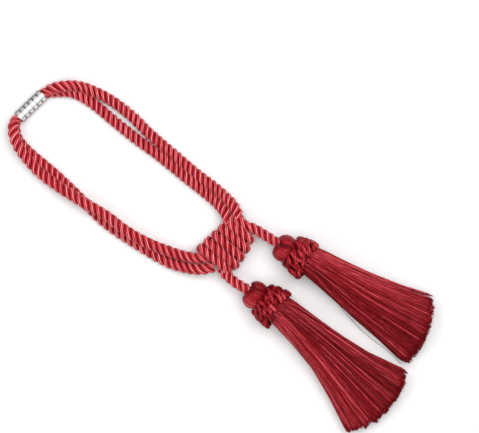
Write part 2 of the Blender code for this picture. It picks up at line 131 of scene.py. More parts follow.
# Rope routes: x, y, z
OUTER_ROUTE = (
    (0.0100, 0.0338, 0.0150), (0.0045, 0.0388, 0.0146), (-0.0030, 0.0437, 0.0128),
    (-0.0130, 0.0468, 0.0096), (-0.0320, 0.0494, 0.0058), (-0.0630, 0.0508, LYING),
    (-0.0979, 0.0539, LYING), (-0.1302, 0.0573, LYING), (-0.1635, 0.0625, LYING),
    (-0.1940, 0.0633, 0.0052), (-0.2190, 0.0592, 0.0075), (-0.2350, 0.0525, 0.0120),
    (-0.2462, 0.0438, 0.0156), (-0.2540, 0.0352, 0.0148), (-0.2588, 0.0257, 0.0108),
    (-0.2627, 0.0054, 0.0104), (-0.2665, -0.0137, 0.0107), (-0.2670, -0.0205, 0.0132),
    (-0.2636, -0.0276, 0.0157), (-0.2555, -0.0360, 0.0162), (-0.2440, -0.0424, 0.0148),
    (-0.2306, -0.0468, 0.0120), (-0.2100, -0.0513, 0.0102), (-0.1860, -0.0521, 0.0130),
    (-0.1680, -0.0517, 0.0152), (-0.1464, -0.0505, 0.0162), (-0.1190, -0.0484, 0.0145),
    (-0.0915, -0.0494, 0.0142), (-0.0680, -0.0474, 0.0132), (-0.0480, -0.0435, 0.0116),
    (-0.0262, -0.0374, 0.0112), (-0.0120, -0.0316, 0.0128), (-0.0020, -0.0256, 0.0147),
    (0.0044, -0.0195, 0.0150),
)
INNER_ROUTE = (
    (0.0045, 0.0232, 0.0150), (-0.0020, 0.0284, 0.0144), (-0.0100, 0.0332, 0.0118),
    (-0.0230, 0.0370, 0.0075), (-0.0400, 0.0388, 0.0052), (-0.0600, 0.0398, LYING),
    (-0.0888, 0.0418, LYING), (-0.1129, 0.0433, LYING), (-0.1426, 0.0441, LYING),
    (-0.1730, 0.0458, LYING), (-0.2002, 0.0484, LYING), (-0.2200, 0.0481, LYING),
    (-0.2350, 0.0445, LYING), (-0.2462, 0.0370, LYING), (-0.2545, 0.0300, 0.0048),
    (-0.2588, 0.0240, 0.0046), (-0.2627, 0.0054, 0.0046), (-0.2665, -0.0137, 0.0046),
    (-0.2665, -0.0205, 0.0048), (-0.2626, -0.0276, LYING), (-0.2540, -0.0345, LYING),
    (-0.2400, -0.0387, LYING), (-0.2245, -0.0407, LYING), (-0.1994, -0.0428, LYING),
    (-0.1749, -0.0462, LYING), (-0.1464, -0.0508, LYING), (-0.1190, -0.0550, LYING),
    (-0.0915, -0.0555, LYING), (-0.0661, -0.0543, LYING), (-0.0430, -0.0527, LYING),
    (-0.0250, -0.0500, 0.0062), (-0.0110, -0.0450, 0.0092), (0.0020, -0.0385, 0.0132),
    (0.0108, -0.0312, 0.0150), (0.0156, -0.0250, 0.0152),
)
TASSEL_ROUTES = {
    "upper": (
        (0.0190, 0.0329, 0.0150),
        (0.0255, 0.0361, 0.0154),
        (0.0345, 0.0377, 0.0162),
        (0.0455, 0.0384, 0.0178),
        (0.0560, 0.0389, 0.0193),
        (0.0648, 0.0396, 0.0195),
    ),
    "lower": (
        (0.0216, -0.0198, 0.0140),
        (0.0285, -0.0235, 0.0138),
        (0.0370, -0.0250, 0.0150),
        (0.0470, -0.0256, 0.0176),
        (0.0570, -0.0251, 0.0192),
        (0.0674, -0.0248, 0.0195),
    ),
}

# Sleeve
SLEEVE_CENTRE = (-0.2627, 0.0054)
SLEEVE_ANGLE = math.radians(79)
SLEEVE_LENGTH = 0.0390
SLEEVE_SIDES = 8
SLEEVE_ROWS = 6
SLEEVE_BORE_APOTHEM = 0.00605
SLEEVE_WALL = 0.00075
STUD_HEIGHT = 0.0008
SQUEEZED_WIDTH = 0.862
SQUEEZED_HEIGHT = 0.437
SQUEEZE_MARGIN = 0.001
SQUEEZE_RELEASE = 0.013
STUD_LEVELS = (
    # inset from the cell's edge, height over the facet, and a tone from 0 to 1: low in the grooves for
    # tarnish and on the bevels for painted dark reflection
    (0.0, 0.0, 0.0),
    (0.00036, 0.0, 0.0),
    (0.00050, 0.00026, 0.35),
    (0.00085, 0.00034, 0.7),
    (0.00105, 0.00042, 0.2),
    (0.00135, 0.00076, 0.35),
    (0.00165, STUD_HEIGHT, 1.0),
)

RIM_POLISH = 0.7
SLEEVE_ROLL = math.radians(6)
SLEEVE_CLEARANCE = 0.0001

# Knot: wraps round the Y axis
WRAPS = (
    # y_left, y_right, x_left, x_right, z_top
    (-0.0158, -0.0190, -0.0113, 0.0340, 0.0272),
    (-0.0048, -0.0100, -0.0091, 0.0376, 0.0295),
    (0.0062, 0.0010, -0.0063, 0.0373, 0.0300),
    (0.0168, 0.0125, -0.0045, 0.0366, 0.0295),
    (0.0262, 0.0235, -0.0030, 0.0345, 0.0282),
    (0.0348, 0.0338, 0.0035, 0.0250, 0.0255),
)
KNOT_CORNER = 0.82  # the power that makes a wrap's section more square
KNOT_PRESS = 0.0024  # how far a wrap would reach below the surface if it weren't flattened on it
KNOT_ROPE_RADIUS = 0.0061
KNOT_PITCH = 0.0236
KNOT_SQUARING = 0.06  # how far the rope's section is pressed towards a square by its neighbours
KNOT_SPREAD = 0.0027  # how far the wraps stand out past their solid at either side
WRAP_SAMPLES = 48

# Tassels, from the cord's end of the head
TASSELS = {
    # x, y of the head's cord end, heading in degrees
    "upper": (0.05745, 0.0378, 8.0),
    "lower": (0.06060, -0.0253, 3.2),
}
AXIS_HEIGHT = 0.0195
HEAD_SWELLS = {"upper": (0.0012, -0.0008), "lower": (0.0010, 0.0008)}  # near and far, past the profile
HEAD_PROFILE = (
    # radius, distance from the cord's end
    (0.0040, 0.0064),
    (0.0056, 0.0048),
    (0.0062, 0.0024),
    (0.0080, 0.0014),
    (0.0112, 0.0026),
    (0.0145, 0.0066),
    (0.0158, 0.0118),
    (0.0151, 0.0170),
    (0.0130, 0.0215),
    (0.0122, 0.0250),
    (0.0138, 0.0275),
    (0.0152, 0.0310),
    (0.0152, 0.0430),
)
HEAD_THREADS = 52
HEAD_THREAD_COLUMNS = (-1.0, -0.2, 0.0, -0.2)
HEAD_THREAD_DEPTH = 0.00025
# Painted shade in the creases between the head's threads
HEAD_THREAD_SHADE = 0.60
HEAD_THREAD_TONE = 0.24  # how much the threads differ
HEAD_STEP = 0.0009
HEAD_MIDDLE = 0.0115
HEAD_NECK = 0.0252
HEAD_TIE_WIDTH = 0.0026
BALL_ROOT = (0.0045, 0.0095)  # the radii between which creases and swells grow, at the cord's end
BALL_END = (0.0165, 0.0245)  # the distances between which they fade, before the neck
HEAD_CREASE_LEAN = -14.0  # radians a metre, from the cord's end to the neck
HEAD_PAINTED_SHADE_SIDE = 50.0  # where the painted shade is deepest, in degrees round the axis from the far side
HEAD_TONE = 0.80
HEAD_PAINTED_SIDE_LIGHT = (0.96, 0.42)  # painted light and shade round the head: its middle level, and how far it falls on the shaded side
# Painted shade in the head's creases, in the notch and round the cord's entry; it is darker round the
# neck too
HEAD_CREASE_SHADE = 6.0
HEAD_TIE_SHADE = 0.8
HEAD_NOTCH_SHADE = 0.6
HEAD_HOLE = (0.0015, 0.0075)  # the distances between which the painted shade round the cord's entry fades
HEAD_HOLE_PAINTED_SHADE = 0.35
HEAD_CREASES = {
    # angle from the far side in degrees, depth as a share of the radius, half width in degrees
    "upper": (
        (84.0, 0.13, 10.0), (150.0, 0.03, 10.0), (28.0, 0.03, 10.0),
        (226.0, 0.07, 14.0), (300.0, 0.07, 15.0),
    ),
    "lower": (
        (54.0, 0.13, 8.0), (118.0, 0.02, 12.0), (166.0, 0.03, 10.0),
        (246.0, 0.07, 14.0), (310.0, 0.06, 14.0),
    ),
}
HEAD_NOTCHES = {
    # where the cord sinks into the ball: place towards the far side, half width, depth
    "upper": (0.0018, 0.0036, 0.0036),
    "lower": (0.0035, 0.0044, 0.0030),
}

RUFF_ROWS = (
    # distance of the strands' middle, radius, strands, first angle in degrees
    (0.0252, 0.0160, 17, 0.0),
    (0.0330, 0.0180, 19, 8.0),
    (0.0408, 0.0182, 20, 3.0),
)
RUFF_STRAND_LENGTH = 0.0128
RUFF_SLANT = math.radians(33)
RUFF_STRAND_LIFT = 0.0022  # how far a strand's middle stands out past its ends
RUFF_STRAND_BOW = 0.0010
RUFF_STRAND_SINK = 0.55  # of its radius
RUFF_ARCH_TILT = 0.25
RUFF_ARCH_CURVE = 2.5
# How much strands differ in distance, place (of the gap between two), size, slant and radius
RUFF_SPREADS = (0.0012, 0.22, 0.16, math.radians(24), 0.0005)
RUFF_NEAR_SAG = {"upper": 0.0036, "lower": 0.0034}  # how far the near side hangs out past the solid
RUFF_FAR_FLARE = {"upper": 0.0012, "lower": 0.0026}
RUFF_SAG_SHARES = (0.55, 1.35)  # of the sag, in the first row and the last
RUFF_TOP_SHIFT = 0.0045  # how much nearer the head the last row lies on top than at the sides
RUFF_CORD_RADIUS = 0.0024
RUFF_CORD_COLUMNS = 12
RUFF_CORD_STEPS = 18
RUFF_CORD_TWIST = 1.5
RUFF_CORD_PLIES = 3
RUFF_PLY_DEPTH = 0.13
RUFF_CORD_TAPER = 0.55
# Painted shade and light on the ruff's strands: darker in the ply creases, towards the core and at the
# sunk ends, lighter on the outer side
RUFF_CREASE_SHADE = 0.40
RUFF_INNER_SHADE = 0.05
RUFF_OUTER_SHADE = 0.98
RUFF_SHADE_CURVE = 1.3
RUFF_END_SHADE = 0.45
RUFF_TONES = (0.48, 0.54)  # the darkest strand, and how much lighter the lightest one is
# Painted glints: a few strands of the last row made pale
RUFF_PAINTED_GLINT_SHARE = 0.2  # of the last row's strands
RUFF_PAINTED_GLINT_TONE = 1.2
# A base under the strands, at the darkest tone: painted shade in the gaps between them
PAINTED_SHADE_BASE_COLUMNS = 120
RUFF_PAINTED_SHADE_BASE = (
    # distance, radius
    (0.0215, 0.0125),
    (0.0218, 0.0138),
    (0.0260, 0.0152),
    (0.0320, 0.0168),
    (0.0375, 0.0170),
    (0.0405, 0.0168),
    (0.0409, 0.0150),
)

BAND_FRONT = 0.0502
BAND_RADIUS = 0.0152
BAND_STATIONS = (0.0130, 0.0050)  # back from the band's front
EDGE_THICKNESS = 0.55
SKIRT_SECTIONS = {
    # x and y of the near edge, x and y of the far edge, z_low, z_high, roundness, bulge
    "upper": (
        (0.1170, 0.0275, 0.1130, 0.0625, 0.0030, 0.0345, 0.9, 0.000),
        (0.1800, 0.0176, 0.1740, 0.0752, 0.0000, 0.0235, 0.0, 0.000),
        (0.2590, 0.0110, 0.2375, 0.0915, 0.0000, 0.0180, 0.0, 0.0095),
    ),
    "lower": (
        (0.1165, -0.0405, 0.1185, -0.0055, 0.0030, 0.0345, 0.9, 0.000),
        (0.1770, -0.0586, 0.1845, -0.0032, 0.0000, 0.0235, 0.0, 0.000),
        (0.2460, -0.0918, 0.2640, 0.0040, 0.0000, 0.0180, 0.0, 0.0150),
    ),
}
SKIRT_THREADS = 3500
SKIRT_RINGS = 10
THREAD_RADIUS = 0.00036
SKIRT_LOCKS = 46
SKIRT_STRANDS = 110  # bunches of neighbouring threads that share a tone and a length
LOCK_WIDTHS = (0.4, 1.6)
LOCK_ROUNDING = 0.01  # how much lower a lock's edges lie, as a share of half the skirt's height
LOCK_SINK = 0.015
TOP_SINK = 0.07
INSIDE = 0.9  # how far up and down the threads that fill the skirt lie
EDGE_SPREAD = 0.05
BAND_FILL = 0.985  # how near the band's rim its outermost threads are
TOP_SHARE = 0.62
UNDER_SHARE = 0.10
SIDE_SHARE = 0.12
STRAY_SHARE = 0.08
STRAY_STRETCH = (0.0020, 0.0050)
GLINT_SHARE = 0.032  # painted glints, on this share of the top threads
DARK_SHARE = 0.032
FEATURE_EDGE = 0.90  # how far out across the skirt glints and dark threads lie
FEATURE_RADIUS = 0.00045
FEATURE_LIFT = 0.0003
RADIUS_SPREAD = (0.8, 1.2)

# The skirt's outline: how much narrower or wider it is than its solid, and where along it
SKIRT_WAIST = 0.062  # three quarters down
WAIST_CURVE = 2.5
SKIRT_FAR_WAIST = {"upper": 0.0, "lower": 0.045}  # on its far side alone
FAR_WAIST_CURVE = 4
SKIRT_SHOULDER = 0.09  # a third down
SHOULDER_END = 0.65
SKIRT_SIDE_SHOULDERS = {"upper": (0.05, 0.02), "lower": (0.02, 0.06)}  # on its near side and its far one
SIDE_SHOULDER_END = 0.80

# The hem: how much longer or shorter the threads are
SKIRT_LENGTHENING = {"upper": 0.0015, "lower": 0.0036}
SKIRT_UNDERCUT = 0.0030  # the lowest threads, against the top ones
LOCK_STRETCH = 0.0009
STRAND_STRETCH = 0.0012
THREAD_SHORTENING = 0.0024
LARGEST_DRAW = 1.8  # of a lock's length and tone, in standard deviations

# How the threads wander from their places by the hem: along, across and up
THREAD_WANDER = (0.0, 0.0009, 0.0003)
FEATURE_WANDER = 2.4  # times as much
EDGE_WANDER = 0.3
WANDER_EDGE = 0.94
LOCK_SWAY = (0.0, 0.0002, 0.0)
LOCK_SWAY_TURNS = (1.0, 2.6)
THREAD_SWAY = (0.0, 0.00035, 0.000175)
THREAD_SWAY_TURNS = (1, 4)
TIP_SHARE = 0.985  # where the last ring but one lies, as a share of a thread's length
# Painted satin sheen: broad lighter zones on each skirt
SKIRT_PAINTED_SHEENS = {
    # place across from near -1 to far 1, half width, place along from 0 to 1, half width, amount
    "upper": ((0.90, 0.62, 0.55, 0.46, 0.50), (-0.30, 0.80, 0.00, 0.20, 0.12)),
    "lower": (
        (-1.05, 0.60, 0.50, 0.80, 0.52),
        (-0.40, 0.30, 0.10, 0.40, 0.16),
        (1.00, 0.24, 0.70, 0.50, 0.36),
    ),
}
SKIRT_TONE = 0.28
LOWER_PAINTED_SHADE_TONE = 0.24  # painted shade: the darker tone of the threads that aren't on top
LOCK_TONE = 0.015
STRAND_TONE = 0.02
THREAD_TONE = 0.22
# Painted glints: how much lighter, and where along a thread and how far
GLINT_TONE = 0.85
GLINT_PLACES = (0.05, 0.95)
GLINT_REACHES = (0.06, 0.16)
DARK_TONE = 0.30
LIGHTEST_TONE = 1.1
TIP_SHADE = 0.35
WISP_FROM = 0.988  # the far edge's last threads stand a little apart at the hem
WISP_GAP = 0.0030

LOOSE_THREADS = {
    # one thread that has slipped out of the skirt's near edge and back to its hem
    "upper": (
        (0.1310, 0.0330, 0.0330),
        (0.1480, 0.0265, 0.0270),
        (0.1600, 0.0215, 0.0160),
        (0.1700, 0.0180, 0.0060),
        (0.1850, 0.0145, 0.0012),
        (0.2020, 0.0117, 0.0006),
        (0.2180, 0.0105, 0.0006),
        (0.2320, 0.0104, 0.0006),
        (0.2460, 0.0088, 0.0010),
        (0.2565, 0.0066, 0.0012),
    ),
}
LOOSE_RADIUS = 0.00026
LOOSE_STEP = 0.003
LOOSE_TONE = 0.4


# ---- meshes

class Surface:
    """Tubes gathered into one mesh, with a thread coordinate and a shade for each point."""

    def __init__(self):
        self.points = []
        self.loops = []
        self.starts = []
        self.uvs = []
        self.shades = []
        self.count = 0
        self.corners = 0

    def add_faces(self, corners, uvs):
        faces, sides = corners.shape
        self.loops.append(corners.ravel())
        self.starts.append(self.corners + np.arange(faces) * sides)
        self.uvs.append(uvs.reshape(-1, 2))
        self.corners += faces * sides

    def add_tubes(self, tubes, across, along, shades):
        """Tubes with capped ends: tube, ring, column, xyz.

        across has a value for each column and one more to close it, and along one for each ring.
        """
        n, rings, columns, _ = tubes.shape
        index = self.count + np.arange(n * rings * columns).reshape(n, rings, columns)
        self.points.append(tubes.reshape(-1, 3))
        self.shades.append(np.broadcast_to(shades, (n, rings, columns)).ravel())
        self.count += n * rings * columns
        here, onward = index[:, :-1], index[:, 1:]
        quads = np.stack([here, np.roll(here, -1, 2), np.roll(onward, -1, 2), onward], axis=-1)
        u = np.broadcast_to(across, (n, columns + 1))[:, None, :]
        v = np.broadcast_to(along, (n, rings))[:, :, None]
        left, right = (np.broadcast_to(part, here.shape) for part in (u[:, :, :-1], u[:, :, 1:]))
        back, front = (np.broadcast_to(part, here.shape) for part in (v[:, :-1], v[:, 1:]))
        corners = ((left, back), (right, back), (right, front), (left, front))
        uvs = np.stack([np.stack(corner, -1) for corner in corners], axis=-2)
        self.add_faces(quads.reshape(-1, 4), uvs)
        for ring, turn in ((0, -1), (-1, 1)):
            cap = index[:, ring, ::turn]
            parts = [np.broadcast_to(part, cap.shape) for part in (u[:, 0, :-1], v[:, ring])]
            self.add_faces(cap, np.stack(parts, -1))

    def finish(self, name, material):
        points = np.concatenate(self.points).astype(np.float32)
        mesh = bpy.data.meshes.new(name)
        mesh.vertices.add(len(points))
        mesh.vertices.foreach_set("co", points.ravel())
        loops = np.concatenate(self.loops).astype(np.int32)
        starts = np.concatenate(self.starts).astype(np.int32)
        mesh.loops.add(len(loops))
        mesh.loops.foreach_set("vertex_index", loops)
        mesh.polygons.add(len(starts))
        mesh.polygons.foreach_set("loop_start", starts)
        mesh.update(calc_edges=True)
        mesh.polygons.foreach_set("use_smooth", np.ones(len(starts), bool))
        uv_layer = mesh.uv_layers.new(name=THREAD_UV)
        uv_layer.uv.foreach_set("vector", np.concatenate(self.uvs).astype(np.float32).ravel())
        shade = mesh.attributes.new(SHADE, "FLOAT", "POINT")
        shade.data.foreach_set("value", np.concatenate(self.shades).astype(np.float32))
        mesh.validate()
        mesh.materials.append(material)
        return add_object(name, mesh)


def unit(vectors):
    return vectors / np.linalg.norm(vectors, axis=-1, keepdims=True)


def run_along(lines):
    """How far along its line each point lies, for one line or many."""
    steps = np.linalg.norm(np.diff(lines, axis=-2), axis=-1)
    return np.cumsum(np.insert(steps, 0, 0.0, axis=-1), axis=-1)


def around(columns):
    """Even angles round a circle."""
    return math.tau * np.arange(columns) / columns


def between(a, b, c, d, t):
    """A point at the share t of the way from b to c, on the smooth curve through all four."""
    bend = (2 * a - 5 * b + 4 * c - d) * t**2 + (3 * b - a - 3 * c + d) * t**3
    return b + ((c - a) * t + bend) / 2


def ease(t):
    """From 0 to 1 with a soft start and end."""
    return t * t * (3 - 2 * t)


def smooth_route(points, spacing):
    """Points at even steps of about the spacing along a smooth curve through the given points."""
    given = np.array(points, float)
    padded = np.concatenate([[2 * given[0] - given[1]], given, [2 * given[-1] - given[-2]]])
    t = np.linspace(0.0, 1.0, ROUTE_SAMPLES, endpoint=False)[:, None]
    fine = [between(*four, t) for four in zip(padded, padded[1:], padded[2:], padded[3:])]
    fine = np.concatenate(fine + [given[-1:]])
    along = run_along(fine)
    stations = np.linspace(0.0, along[-1], round(along[-1] / spacing) + 1)
    return np.stack([np.interp(stations, along, fine[:, k]) for k in range(3)], axis=1)


def twisted_plies(centres, upright, radius, pitches, squaring=0.0):
    """Three plies round a centre line: ply, ring, column, xyz, and their shades and yarn coordinates.

    pitches is the lay at the line's start and at its end. It changes about half-way.
    """
    tangents = unit(np.gradient(centres, axis=0))
    side = unit(np.cross(upright, tangents))
    rise = np.cross(tangents, side)
    along = run_along(centres)
    pitch = np.interp(along / along[-1], PITCH_CHANGE, pitches)
    turns = np.concatenate([[0.0], np.cumsum(np.diff(along) / pitch[1:])])
    relief = np.tile(np.array(YARN_COLUMNS), YARNS)
    columns = len(relief)
    ply_radius = radius * PLY_SHARE
    lay_radius = radius - ply_radius
    ply = np.arange(PLIES)[:, None, None]
    turn = math.tau * (turns[None, :, None] + ply / PLIES)
    local = around(columns) - math.tau * along[:, None] / YARN_PITCH
    swell = 1 + PLY_SWELL * np.sin(along[None, :, None] * PLY_SWELL_TURNS + PLY_SWELL_OFFSET * ply)
    reach = ply_radius * swell + YARN_DEPTH * relief
    sideways = lay_radius * np.cos(turn) + reach * np.cos(turn + local)
    upwards = lay_radius * np.sin(turn) + reach * np.sin(turn + local)
    out = np.hypot(sideways, upwards) / radius
    corner = 2 * sideways * upwards / np.maximum(sideways**2 + upwards**2, TINY)
    sideways, upwards = (part * (1 + squaring * corner**2) for part in (sideways, upwards))
    tubes = centres[:, None] + sideways[..., None] * side[:, None] + upwards[..., None] * rise[:, None]
    # Painted shade, darker where a ply sinks towards the rope's centre and in the creases between yarns
    painted_valley_shade = np.interp(out, VALLEY_TO_CREST, (0.0, 1.0)) ** VALLEY_CURVE
    shades = CREST_SHADE * painted_valley_shade * (1 + YARN_SHADE * relief)
    across = np.arange(columns + 1) / len(YARN_COLUMNS) + YARNS * np.arange(PLIES)[:, None]
    return tubes, shades, across, along


def squeeze_in_sleeve(tubes, centres):
    """Rope pressed flat where it passes through the sleeve, swelling again past it."""
    beyond = np.linalg.norm(centres[:, :2] - SLEEVE_CENTRE, axis=1) - SLEEVE_LENGTH / 2 - SQUEEZE_MARGIN
    release = ease(np.clip(beyond / SQUEEZE_RELEASE, 0.0, 1.0))
    width = SQUEEZED_WIDTH + (1 - SQUEEZED_WIDTH) * release
    height = SQUEEZED_HEIGHT + (1 - SQUEEZED_HEIGHT) * release
    scale = np.stack([width, width, height], axis=1)[:, None]
    return centres[:, None] + (tubes - centres[:, None]) * scale


# ---- materials

def plug(tree, made, inputs):
    """Sets a node's inputs to values, or links them to other nodes' outputs."""
    for name, value in inputs.items():
        if isinstance(value, bpy.types.NodeSocket):
            tree.links.new(value, made.inputs[name])
        else:
            made.inputs[name].default_value = value


def node(tree, kind, inputs, **settings):
    made = tree.nodes.new(kind)
    for name, value in settings.items():
        setattr(made, name, value)
    plug(tree, made, inputs)
    return made


def math_node(tree, operation, first, second):
    return node(tree, "ShaderNodeMath", {0: first, 1: second}, operation=operation).outputs[0]


def about_zero(tree, noise, amount):
    """A noise from 0 to 1, shifted to lie about zero and scaled."""
    return math_node(tree, "MULTIPLY", math_node(tree, "SUBTRACT", noise, 0.5), amount)


def new_material(name):
    """A material, its node tree and its shader."""
    material = bpy.data.materials.new(name)
    material.use_nodes = True
    tree = material.node_tree
    return material, tree, tree.nodes["Principled BSDF"]


def satin_thread(name, colours, yarn_grain, along_grain, streak, roughness, relief):
    """Shiny filament yarn: streaks along the thread, a tone for each yarn, and painted shade and
    highlights from the shade attribute.
    """
    material, tree, shader = new_material(name)
    thread = node(tree, "ShaderNodeUVMap", {}, uv_map=THREAD_UV)
    parts = node(tree, "ShaderNodeSeparateXYZ", {0: thread.outputs["UV"]})
    across, along = parts.outputs["X"], parts.outputs["Y"]
    stretched = node(tree, "ShaderNodeCombineXYZ", {
        "X": math_node(tree, "MULTIPLY", across, yarn_grain),
        "Y": math_node(tree, "MULTIPLY", along, along_grain),
    })
    filaments = node(tree, "ShaderNodeTexNoise", {
        "Vector": stretched.outputs[0], "Scale": 1.0, "Detail": GRAIN_DETAIL,
    })
    yarn_number = math_node(tree, "FLOOR", across, 0.0)
    tone = node(tree, "ShaderNodeTexWhiteNoise", {"W": yarn_number}, noise_dimensions="1D")
    # The shade attribute: tone, with painted shade and painted highlights
    painted_light_and_tone = node(tree, "ShaderNodeAttribute", {}, attribute_name=SHADE)
    grain = about_zero(tree, filaments.outputs["Fac"], streak)
    yarn = about_zero(tree, tone.outputs["Value"], YARN_TONE)
    level = math_node(tree, "ADD", math_node(tree, "ADD", painted_light_and_tone.outputs["Fac"], grain), yarn)
    ramp = node(tree, "ShaderNodeValToRGB", {"Fac": level})
    steps = ramp.color_ramp.elements
    darkest, middle, lightest = ((*colour, 1.0) for colour in colours)
    steps[0].color = darkest
    steps[1].color = lightest
    steps.new(MIDDLE_COLOUR_AT).color = middle
    bump = node(tree, "ShaderNodeBump", {
        "Height": filaments.outputs["Fac"], "Strength": BUMP_STRENGTH, "Distance": relief,
    })
    plug(tree, shader, {
        "Base Color": ramp.outputs["Color"],
        "Roughness": roughness,
        "Specular IOR Level": SATIN_GLOSS,
        "Specular Tint": SATIN_TINT,
        "Sheen Weight": SATIN_SHEEN,
        "Sheen Roughness": SHEEN_ROUGHNESS,
        "Sheen Tint": SHEEN_TINT,
        "Normal": bump.outputs["Normal"],
    })
    return material


def polished_metal(name):
    """Plated metal with faint scuffs, darkened by tarnish in its grooves and by painted dark reflection
    on the studs' bevels.
    """
    material, tree, shader = new_material(name)
    place = node(tree, "ShaderNodeTexCoord", {})
    clouds = node(tree, "ShaderNodeTexNoise", {
        "Vector": place.outputs["Object"], "Scale": SCUFF_SCALE, "Detail": SCUFF_DETAIL,
    })
    smoothest, roughest = PLATE_ROUGHNESS
    shine = node(tree, "ShaderNodeMapRange", {
        "Value": clouds.outputs["Fac"], "To Min": smoothest, "To Max": roughest,
    })
    # Tarnish in the grooves and painted dark reflection on the bevels
    tarnish_and_painted_reflection_level = node(tree, "ShaderNodeAttribute", {}, attribute_name=SHADE)
    scuffs = about_zero(tree, clouds.outputs["Fac"], SCUFF_TONE)
    level = math_node(tree, "ADD", tarnish_and_painted_reflection_level.outputs["Fac"], scuffs)
    tint = node(tree, "ShaderNodeValToRGB", {"Fac": level})
    tint.color_ramp.elements[0].color = TARNISH_AND_PAINTED_REFLECTION_COLOUR
    tint.color_ramp.elements[1].color = PLATE_COLOUR
    plug(tree, shader, {
        "Base Color": tint.outputs["Color"],
        "Metallic": 1.0,
        "Roughness": shine.outputs["Result"],
    })
    return material


# ---- stage

def add_object(name, data):
    obj = bpy.data.objects.new(name, data)
    bpy.context.scene.collection.objects.link(obj)
    return obj


def make_camera():
    camera = add_object("camera", bpy.data.cameras.new("camera"))
    camera.data.lens = LENS_MM
    camera.data.sensor_width = SENSOR_MM
    camera.data.clip_end = FARTHEST_SEEN
    distance = VIEW_WIDTH * LENS_MM / SENSOR_MM
    camera.location = (*VIEW_CENTRE, distance + VIEW_FOCUS_HEIGHT)
    camera.rotation_euler = (0.0, 0.0, VIEW_TURN)
    bpy.context.scene.camera = camera


def make_floor():
    bpy.ops.mesh.primitive_plane_add(size=FLOOR_SIZE)
    floor = bpy.context.object
    floor.name = "floor"
    material, tree, shader = new_material("floor")
    plug(tree, shader, {
        "Base Color": FLOOR_COLOUR, "Roughness": FLOOR_ROUGHNESS, "Specular IOR Level": FLOOR_GLOSS,
    })
    floor.data.materials.append(material)


def make_sky():
    """A studio that is bright overhead, dimmer low down, and a little brighter on one side."""
    world = bpy.data.worlds.new("studio")
    bpy.context.scene.world = world
    world.use_nodes = True
    tree = world.node_tree
    heading = node(tree, "ShaderNodeTexCoord", {}).outputs["Generated"]
    parts = node(tree, "ShaderNodeSeparateXYZ", {0: heading})
    height = math_node(tree, "MAXIMUM", parts.outputs["Z"], 0.0)
    toward = node(tree, "ShaderNodeVectorMath", {0: heading, 1: BRIGHT_SIDE}, operation="DOT_PRODUCT")
    overhead = math_node(tree, "MULTIPLY", math_node(tree, "MULTIPLY", height, height), SKY_OVERHEAD)
    low = math_node(tree, "ADD", math_node(tree, "MULTIPLY", toward.outputs["Value"], SKY_SIDE), SKY_LOW)
    plug(tree, tree.nodes["Background"], {
        "Color": (1.0, 1.0, 1.0, 1.0), "Strength": math_node(tree, "ADD", overhead, low),
    })


def make_lights():
    for name, (place, size, power) in SOFTBOXES.items():
        light = bpy.data.lights.new(name, "AREA")
        light.size = size
        light.energy = power
        box = add_object(name, light)
        box.location = place
        box.rotation_euler = (-Vector(place)).to_track_quat("-Z", "Y").to_euler()
    bpy.context.scene.view_settings.view_transform = "Standard"


# ---- pieces

def dress(obj, slot, *nodes):
    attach(obj, "root")
    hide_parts(*nodes)
    return obj


def rope_piece(name, material, replaced, tubes, across, along, shades):
    tubes[..., 2] = np.maximum(tubes[..., 2], 0.0)
    surface = Surface()
    surface.add_tubes(tubes, across, along, shades)
    return dress(surface.finish(name, material), "rope", replaced)


def make_rope(name, route, radius, pitches, material, replaced, squeezed):
    """A rope along its route, and the route's points."""
    centres = smooth_route(route, ROPE_STEP)
    tubes, shades, across, along = twisted_plies(centres, UP, radius, pitches)
    if squeezed:
        tubes = squeeze_in_sleeve(tubes, centres)
    return rope_piece(name, material, replaced, tubes, across, along, shades), centres


def make_loop_rope(name, route, material, replaced):
    rope, centres = make_rope(
        name, route, LOOP_ROPE_RADIUS, LOOP_PITCHES, material, replaced, squeezed=True
    )


def make_tassel_rope(tassel, route, material):
    pitches = (TASSEL_ROPE_PITCH, TASSEL_ROPE_PITCH)
    replaced = "tassel_cord_" + tassel
    make_rope("rope_" + tassel, route, TASSEL_ROPE_RADIUS, pitches, material, replaced, squeezed=False)


def wrap_centres():
    """The centre line of the rope that winds round the knot, from the near end to the far one.

    It passes from a wrap to the next one underneath, in the second half of its turn.
    """
    line = []
    for row, wrap in enumerate(WRAPS):
        after = WRAPS[min(row + 1, len(WRAPS) - 1)]
        for step in range(WRAP_SAMPLES):
            turn = step / WRAP_SAMPLES
            angle = math.tau * turn
            passing = ease(max(2 * turn - 1, 0.0))
            _, _, x_left, x_right, z_top = (a + (b - a) * passing for a, b in zip(wrap, after))
            c, s = math.cos(angle), math.sin(angle)
            half_x = (x_right - x_left) / 2 + KNOT_SPREAD - KNOT_ROPE_RADIUS
            half_z = (z_top + KNOT_PRESS) / 2 - KNOT_ROPE_RADIUS
            x = (x_left + x_right) / 2 + half_x * math.copysign(abs(c) ** KNOT_CORNER, c)
            z = (z_top - KNOT_PRESS) / 2 + half_z * math.copysign(abs(s) ** KNOT_CORNER, s)
            y_from = wrap[1] if turn < 0.5 else after[1]
            y = (wrap[0] + y_from) / 2 + (y_from - wrap[0]) / 2 * c
            line.append((x, y, z))
    return smooth_route(line, ROPE_STEP)


def make_knot(material):
    centres = wrap_centres()
    along_y = np.array([0.0, 1.0, 0.0])
    tangents = unit(np.gradient(centres, axis=0))
    upright = along_y - tangents * (tangents @ along_y)[:, None]
    tubes, shades, across, along = twisted_plies(
        centres, -np.cross(upright, tangents), KNOT_ROPE_RADIUS, (KNOT_PITCH, KNOT_PITCH), KNOT_SQUARING
    )
    rope_piece("knot_wraps", material, "knot", tubes, across, along, shades)


